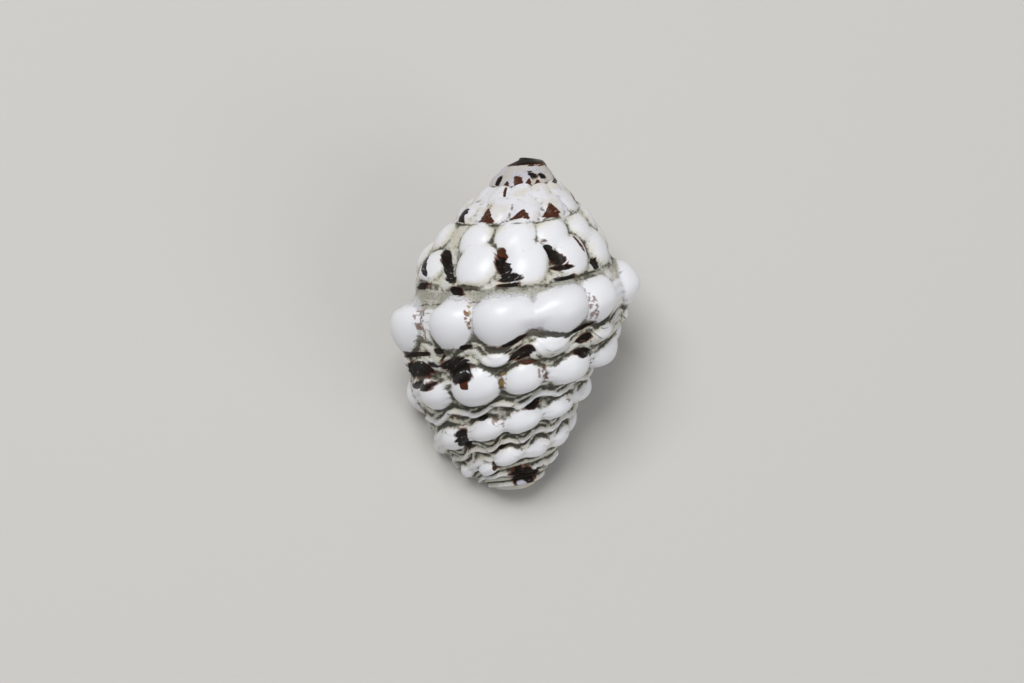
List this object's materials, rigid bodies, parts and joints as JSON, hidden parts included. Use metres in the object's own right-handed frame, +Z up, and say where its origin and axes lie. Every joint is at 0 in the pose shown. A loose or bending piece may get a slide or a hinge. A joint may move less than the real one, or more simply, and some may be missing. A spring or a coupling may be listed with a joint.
{
  "type": "rock snail shell",
  "caption": "Knobbed rock snail shell: a right-handed spiral with rows of white nodules and dark bars, lying on its aperture.",
  "frame": {"origin": "middle of the shell's footprint, on the surface it lies on", "axes": "+Z up, +Y towards the apex, so the siphonal canal is at -Y and the middle of the back faces +Z"},
  "size_m": [0.0208, 0.0256, 0.0177],
  "materials": {
    "shell": "glazed white shell with near-black brown bars and olive dirt in the crevices"
  },
  "bodies": {
    "root": {"shell": "shell"}
  },
  "joints": []
}
